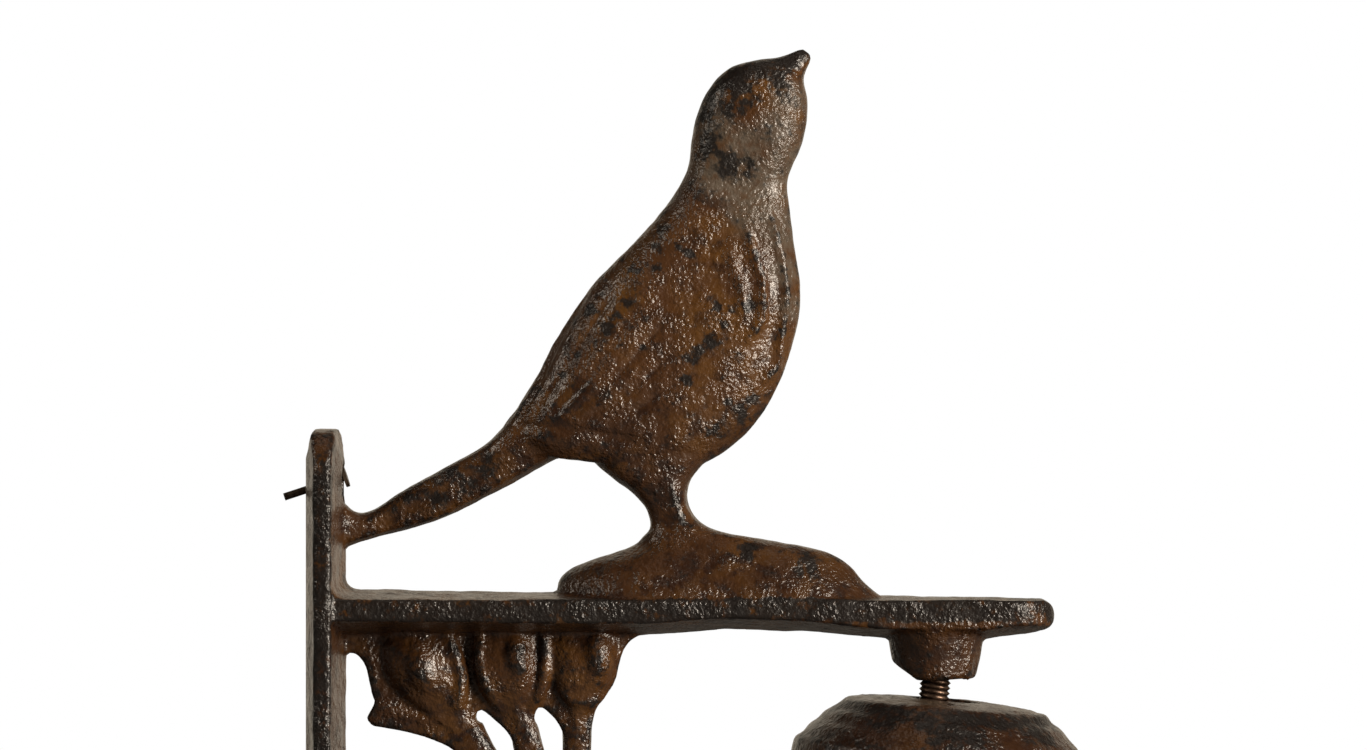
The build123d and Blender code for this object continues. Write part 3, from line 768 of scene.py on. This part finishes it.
class WALLBELL_OT_bracket(bpy.types.Operator):
    """Make the bracket casting with its bird, buds and cast skin."""

    bl_idname = "wall_bell.bracket"
    bl_label = "Bracket casting"

    def execute(self, context):
        spacing = context.scene.bell_casting.bracket_spacing
        mesh = cast_mesh("bracket", spacing, bracket_relief, bracket_marks, self.off_the_wall)
        self.draw_in_ledge(mesh)
        add_piece("bracket_casting", mesh, cast_iron("cast iron bracket"), "bracket")
        return {"FINISHED"}

    @staticmethod
    def off_the_wall(points, normals):
        """1 everywhere but on the land that lies on the wall."""
        return smooth_share(points[:, 0], 0.1 * MM, 0.6 * MM)

    @staticmethod
    def draw_in_ledge(mesh):
        """Lets the arm's side run straight on over the boss, which is a little wider."""
        points = read_vectors(mesh.vertices, "co")
        low, high = BOSS_JOIN
        level = smooth_share(points[:, 2], low * MM, high * MM) * (points[:, 2] < -MM)
        near = (np.abs(points[:, 0] - BOSS_REACH * MM) < BOSS_HALF_LENGTH * MM) * level
        over = np.maximum(np.abs(points[:, 1]) - arm_half_width(points[:, 0]), 0) * near
        points[:, 1] -= np.sign(points[:, 1]) * over
        mesh.vertices.foreach_set("co", points.ravel())
        mesh.update()


class WALLBELL_OT_bell(bpy.types.Operator):
    """Make the bell with the unevenness of its casting on the outside."""

    bl_idname = "wall_bell.bell"
    bl_label = "Bell casting"

    def execute(self, context):
        self.crown, self.up = map(np.array, bell_axis())
        spacing = context.scene.bell_casting.bell_spacing
        mesh = cast_mesh("bell", spacing, self.turning_ridges, self.shoulder_marks, self.outside)
        add_piece("bell_casting", mesh, cast_iron("cast iron bell"), "bell")
        return {"FINISHED"}

    def from_axis(self, points):
        """Way out from the bell's axis to each point, its length and the depth below the crown, in mm."""
        offset = (points - self.crown) / MM
        rise = offset @ self.up
        outward = offset - rise[:, None] * self.up
        return outward, np.linalg.norm(outward, axis=1), -rise

    def turning_ridges(self, points, normals):
        """Faint rings on the shoulder, broken up along the way round."""
        _, radius, drop = self.from_axis(points)
        ring = np.sin(2 * pi * radius / RING_PITCH)
        stretch = smooth_share(drop, *RINGS_START) * (1 - smooth_share(drop, *RINGS_END))
        broken = 0.6 + 0.9 * lumps(points, size=0.009, seed=5.2)
        return RING_HEIGHT * MM * ring * stretch * broken

    def shoulder_marks(self, points):
        """Shares of black round the crown's rim and shoulder, of darker lacquer with painted shade, and of a
        grey painted reflection on the crown's wall side.
        """
        _, radius, drop = self.from_axis(points)
        rim = RIM_BLACK * band(radius, RIM_RADIUS, RIM_BREADTH)
        shoulder = SHOULDER_BLACK * band(drop, SHOULDER_DROP, SHOULDER_BREADTH)
        edges = np.clip(rim + shoulder, 0, 1) * (drop < SHOULDER_END)
        blots = smooth_share(lumps(points, size=0.0085, seed=9.2), 0.05, 0.35)
        bare = np.maximum(edges, PATCH_BLACK * blots * (radius > PATCHES_FROM))
        # Darker lacquer with painted shade over the whole bell, less on the crown's flat
        dark = np.where(radius < CROWN_FLAT, 0.6, 1.0) + 0.5 * lumps(points, size=0.009, seed=2.4)
        # Painted reflection: the crown is greyer on its wall side
        wall_side = points[:, 0] < self.crown[0]
        crown_reflection = REFLECTION_SHARE * (1 - smooth_share(radius, *REFLECTION_EDGE)) * wall_side
        return bare, dark, crown_reflection

    def outside(self, points, normals):
        """1 on the bell's outer face, 0 inside and round the hole."""
        outward, radius, _ = self.from_axis(points)
        outward /= np.maximum(radius, 0.001)[:, None]
        facing = (normals * (outward + 0.8 * self.up)).sum(axis=1)
        return smooth_share(facing, 0.0, 0.3) * smooth_share(radius, *HOLE_EDGE)


class WALLBELL_OT_eye_bolt(bpy.types.Operator):
    """Make the eye bolt with its helical thread."""

    bl_idname = "wall_bell.eye_bolt"
    bl_label = "Threaded eye bolt"

    def execute(self, context):
        thread = context.scene.bell_thread
        up = Vector(bell_axis()[1])
        mesh = merged_copy("eye_bolt")
        top, foot, middle, radius = self.shank(mesh, up)
        core = radius - thread.depth
        work = bmesh.new()
        work.from_mesh(mesh)
        for vertex in work.verts:
            offset = vertex.co - middle
            rise = offset.dot(up)
            outward = offset - up * rise
            if foot - SAME_LEVEL < rise < top and outward.length > radius * SKIN_SHARE:
                vertex.co = middle + up * rise + outward.normalized() * core
        material = browned_steel("browned steel bolt", context.scene.bell_finish.steel, STEEL_METALLIC)
        helix = self.helix_mesh({
            "Turns": (top - foot) / thread.pitch,
            "Length": top - foot,
            "Radius": core,
            "Depth": thread.depth,
            "Steps": thread.steps,
            "Place": middle + up * foot,
            "Turn": Vector((0, 0, 1)).rotation_difference(up).to_euler(),
            "Material": material,
        })
        work.from_mesh(helix)
        bpy.data.meshes.remove(helix)
        work.to_mesh(mesh)
        work.free()
        add_piece("eye_bolt_threaded", mesh, material, "eye_bolt")
        return {"FINISHED"}

    @staticmethod
    def shank(mesh, up):
        """Top and foot of the round shank along its axis, a point on the axis and its radius."""
        points = read_vectors(mesh.vertices, "co")
        axis = np.array(up)
        rise = points @ axis
        middle = Vector(points[rise > rise.max() - SAME_LEVEL].mean(axis=0))
        offset = points - np.array(middle)
        height = offset @ axis
        spread = np.linalg.norm(offset - height[:, None] * axis, axis=1)
        radius = spread[height > -SHANK_LENGTH * MM].max()
        full = height[np.abs(spread - radius) < 0.01 * radius]
        return float(full.max()), float(full.min()), middle, float(radius)

    def helix_mesh(self, values):
        """Thread as a ridge swept along a spiral, laid along the shank."""
        base = new_object("thread", bpy.data.meshes.new("thread"))
        modifier = base.modifiers.new("thread", "NODES")
        tree = self.thread_tree()
        modifier.node_group = tree
        for item in tree.interface.items_tree:
            if item.in_out == "INPUT":
                modifier[item.identifier] = values[item.name]
        return plain_mesh(base)

    @staticmethod
    def thread_tree():
        """Geometry nodes that sweep a ridge along a spiral."""
        tree = bpy.data.node_groups.new("bolt thread", "GeometryNodeTree")
        sockets = [
            ("Turns", "NodeSocketFloat"), ("Length", "NodeSocketFloat"), ("Radius", "NodeSocketFloat"),
            ("Depth", "NodeSocketFloat"), ("Steps", "NodeSocketInt"), ("Place", "NodeSocketVector"),
            ("Turn", "NodeSocketRotation"), ("Material", "NodeSocketMaterial"),
        ]
        for label, kind in sockets:
            tree.interface.new_socket(label, in_out="INPUT", socket_type=kind)
        tree.interface.new_socket("Geometry", in_out="OUTPUT", socket_type="NodeSocketGeometry")
        given = tree.nodes.new("NodeGroupInput")
        spiral = tree.nodes.new("GeometryNodeCurveSpiral")
        upright = tree.nodes.new("GeometryNodeSetCurveNormal")
        upright.mode = "Z_UP"
        ridge = tree.nodes.new("GeometryNodeCurvePrimitiveCircle")
        ridge.inputs["Resolution"].default_value = 4
        sweep = tree.nodes.new("GeometryNodeCurveToMesh")
        sweep.inputs["Fill Caps"].default_value = True
        place = tree.nodes.new("GeometryNodeTransform")
        real = tree.nodes.new("GeometryNodeRealizeInstances")
        paint = tree.nodes.new("GeometryNodeSetMaterial")
        result = tree.nodes.new("NodeGroupOutput")
        links = [
            (given.outputs["Steps"], spiral.inputs["Resolution"]),
            (given.outputs["Turns"], spiral.inputs["Rotations"]),
            (given.outputs["Radius"], spiral.inputs["Start Radius"]),
            (given.outputs["Radius"], spiral.inputs["End Radius"]),
            (given.outputs["Length"], spiral.inputs["Height"]),
            (spiral.outputs["Curve"], upright.inputs["Curve"]),
            (upright.outputs["Curve"], sweep.inputs["Curve"]),
            (given.outputs["Depth"], ridge.inputs["Radius"]),
            (ridge.outputs["Curve"], sweep.inputs["Profile Curve"]),
            (sweep.outputs["Mesh"], place.inputs["Geometry"]),
            (given.outputs["Place"], place.inputs["Translation"]),
            (given.outputs["Turn"], place.inputs["Rotation"]),
            (place.outputs["Geometry"], real.inputs["Geometry"]),
            (real.outputs["Geometry"], paint.inputs["Geometry"]),
            (given.outputs["Material"], paint.inputs["Material"]),
            (paint.outputs["Geometry"], result.inputs["Geometry"]),
        ]
        for source, target in links:
            tree.links.new(source, target)
        return tree


class WALLBELL_OT_small_parts(bpy.types.Operator):
    """Give the clapper, washer, nut and nail their finishes."""

    bl_idname = "wall_bell.small_parts"
    bl_label = "Clapper, washer, nut and nail"

    def execute(self, context):
        finish = context.scene.bell_finish
        steel = browned_steel("browned steel", finish.steel, STEEL_METALLIC)
        nail_steel = browned_steel("dark nail steel", finish.nail_steel, NAIL_METALLIC)
        nodes = frame["nodes"]
        dress(nodes["clapper"], cast_iron("cast iron clapper", CLAPPER_GRAIN_SHARE))
        dress(nodes["washer"], steel)
        dress(nodes["nut"], steel)
        dress(nodes["wall_nail"], nail_steel)
        return {"FINISHED"}


class WALLBELL_OT_stage(bpy.types.Operator):
    """Make the floor, the world, the lamps and the camera."""

    bl_idname = "wall_bell.stage"
    bl_label = "Floor, lamps and camera"

    def execute(self, context):
        stage = context.scene.bell_stage
        self.add_floor(stage)
        self.set_world()
        self.add_lamps()
        self.add_camera(stage)
        context.scene.view_settings.view_transform = "Standard"
        return {"FINISHED"}

    @staticmethod
    def add_floor(stage):
        """Round floor just under the lowest piece, pale to the camera and darker to bounced light."""
        low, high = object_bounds()
        middle = Vector(((low.x + high.x) / 2, (low.y + high.y) / 2, low.z - stage.floor_gap))
        mesh = bpy.data.meshes.new("floor")
        work = bmesh.new()
        bmesh.ops.create_circle(work, cap_ends=True, segments=96, radius=stage.floor_radius)
        bmesh.ops.translate(work, verts=work.verts, vec=middle)
        work.to_mesh(mesh)
        work.free()
        floor = new_object("floor", mesh)

        material, tree, shader = empty_material("pale floor")
        set_inputs(shader, Roughness=0.9, Specular_IOR_Level=0.0, Emission_Color=WHITE)
        seen = shader_node(tree, "ShaderNodeLightPath", (-700, -300)).outputs["Is Camera Ray"]
        pale = steps_node(tree, (-300, 300), seen, low=0.0, high=1.0, start=FLOOR_DARK, end=FLOOR_PALE)
        tree.links.new(pale, shader.inputs["Base Color"])

        # Towards its rim the floor glows, so that it runs out into the white behind it
        coords = shader_node(tree, "ShaderNodeTexCoord", (-900, 0)).outputs["Object"]
        centred = shader_node(tree, "ShaderNodeMapping", (-700, 0))
        set_inputs(centred, Location=-middle)
        tree.links.new(coords, centred.inputs["Vector"])
        distance = shader_node(tree, "ShaderNodeVectorMath", (-500, 0), operation="LENGTH")
        tree.links.new(centred.outputs["Vector"], distance.inputs[0])
        rim = steps_node(tree, (-300, 0), distance.outputs["Value"], low=stage.floor_radius * 0.25,
                         high=stage.floor_radius * 0.85, start=0.22, end=1.0)
        glow = math_node(tree, (-100, -200), "MULTIPLY", rim, seen)
        tree.links.new(glow, shader.inputs["Emission Strength"])
        dress(floor, material)
        floor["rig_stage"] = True

    @staticmethod
    def set_world():
        """White for the camera; a warm room that is dim in front of the bell and bright behind it."""
        world = bpy.data.worlds.new("studio")
        bpy.context.scene.world = world
        world.use_nodes = True
        tree = world.node_tree
        tree.nodes.clear()
        output = shader_node(tree, "ShaderNodeOutputWorld", (800, 0))
        light = shader_node(tree, "ShaderNodeBackground", (600, 0))
        tree.links.new(light.outputs["Background"], output.inputs["Surface"])
        ray = shader_node(tree, "ShaderNodeLightPath", (-600, 300)).outputs
        direction = shader_node(tree, "ShaderNodeTexCoord", (-800, 0)).outputs["Generated"]
        parts = shader_node(tree, "ShaderNodeSeparateXYZ", (-600, 0))
        tree.links.new(direction, parts.inputs["Vector"])
        depth = parts.outputs["Y"]

        # Camera and transmission rays see white, all others the warm colour of the room
        clear = math_node(tree, (-350, 300), "MAXIMUM", ray["Is Camera Ray"], ray["Is Transmission Ray"])
        colour = shader_node(tree, "ShaderNodeMix", (350, -200), data_type="RGBA")
        set_inputs(colour, A=ROOM_COLOUR, B=WHITE)
        tree.links.new(clear, colour.inputs["Factor"])
        tree.links.new(colour.outputs["Result"], light.inputs["Color"])

        # Glossy rays see a narrow sweep behind the bell, diffuse rays a wide one
        sweep = steps_node(tree, (-350, 0), depth, low=0.65, high=1.0, start=0.02, end=0.62)
        glossy = math_node(tree, (-100, 100), "MULTIPLY", ray["Is Glossy Ray"], sweep)
        room = steps_node(tree, (-350, -300), depth, low=0.1, high=0.9, start=0.06, end=1.4)
        fill = math_node(tree, (-100, -150), "MULTIPLY", ray["Is Diffuse Ray"], room)
        total = math_node(tree, (150, 100), "ADD", glossy, fill)
        total = math_node(tree, (350, 100), "MAXIMUM", total, clear)
        tree.links.new(total, light.inputs["Strength"])

    @staticmethod
    def add_lamps():
        """Soft boxes: a key on the right, a fill on the left and one over the top."""
        # Name, place, width, height and power in watts
        boxes = [
            ("key_box", (0.95, -0.68, 0.25), 0.34, 0.7, 21.5),
            ("side_box", (-0.75, -0.3, 0.45), 0.35, 0.35, 2.4),
            ("top_box", (0.12, 0.05, 0.95), 0.4, 0.4, 0.4),
        ]
        for name, place, width, height, power in boxes:
            lamp = bpy.data.lights.new(name, "AREA")
            lamp.shape = "RECTANGLE"
            lamp.size = width
            lamp.size_y = height
            lamp.energy = power
            lamp.color = LAMP_COLOUR
            holder = new_object(name, lamp)
            holder.location = place
            holder.rotation_euler = (Vector(LAMP_TARGET) - Vector(place)).to_track_quat("-Z", "Y").to_euler()

    @staticmethod
    def add_camera(stage):
        """Camera square to the casting's middle plane."""
        data = bpy.data.cameras.new("camera")
        data.lens = data.sensor_width * stage.view_distance / stage.view_width
        camera = new_object("camera", data)
        camera.location = (stage.view_reach, -stage.view_distance, stage.view_height)
        camera.rotation_euler = (pi / 2, 0, 0)
        bpy.context.scene.camera = camera


class WALLBELL_PT_parts(bpy.types.Panel):
    """Sidebar panel that lists the parts of the wall bell."""

    bl_label = "Wall Bell"
    bl_idname = "WALLBELL_PT_parts"
    bl_space_type = "VIEW_3D"
    bl_region_type = "UI"
    bl_category = "Wall Bell"

    def draw(self, context):
        for operator in OPERATORS:
            self.layout.operator(operator.bl_idname)
        for name, group in GROUPS.items():
            box = self.layout.box()
            for label in group.__annotations__:
                box.prop(getattr(context.scene, name), label)


OPERATORS = (
    WALLBELL_OT_bracket,
    WALLBELL_OT_bell,
    WALLBELL_OT_eye_bolt,
    WALLBELL_OT_small_parts,
    WALLBELL_OT_stage,
)
GROUPS = {
    "bell_casting": BellCastingSettings,
    "bell_finish": BellFinishSettings,
    "bell_thread": BellThreadSettings,
    "bell_stage": BellStageSettings,
}


def register():
    """Adds the settings, the operators and the panel."""
    for name, group in GROUPS.items():
        bpy.utils.register_class(group)
        setattr(bpy.types.Scene, name, bpy.props.PointerProperty(type=group))
    for item in (*OPERATORS, WALLBELL_PT_parts):
        bpy.utils.register_class(item)


def unregister():
    """Takes the settings, the operators and the panel away."""
    for item in (WALLBELL_PT_parts, *reversed(OPERATORS)):
        bpy.utils.unregister_class(item)
    for name, group in GROUPS.items():
        delattr(bpy.types.Scene, name)
        bpy.utils.unregister_class(group)


def main():
    register()
    bpy.ops.wall_bell.bracket()
    bpy.ops.wall_bell.bell()
    bpy.ops.wall_bell.eye_bolt()
    bpy.ops.wall_bell.small_parts()
    bpy.ops.wall_bell.stage()


if __name__ == "__main__":
    main()
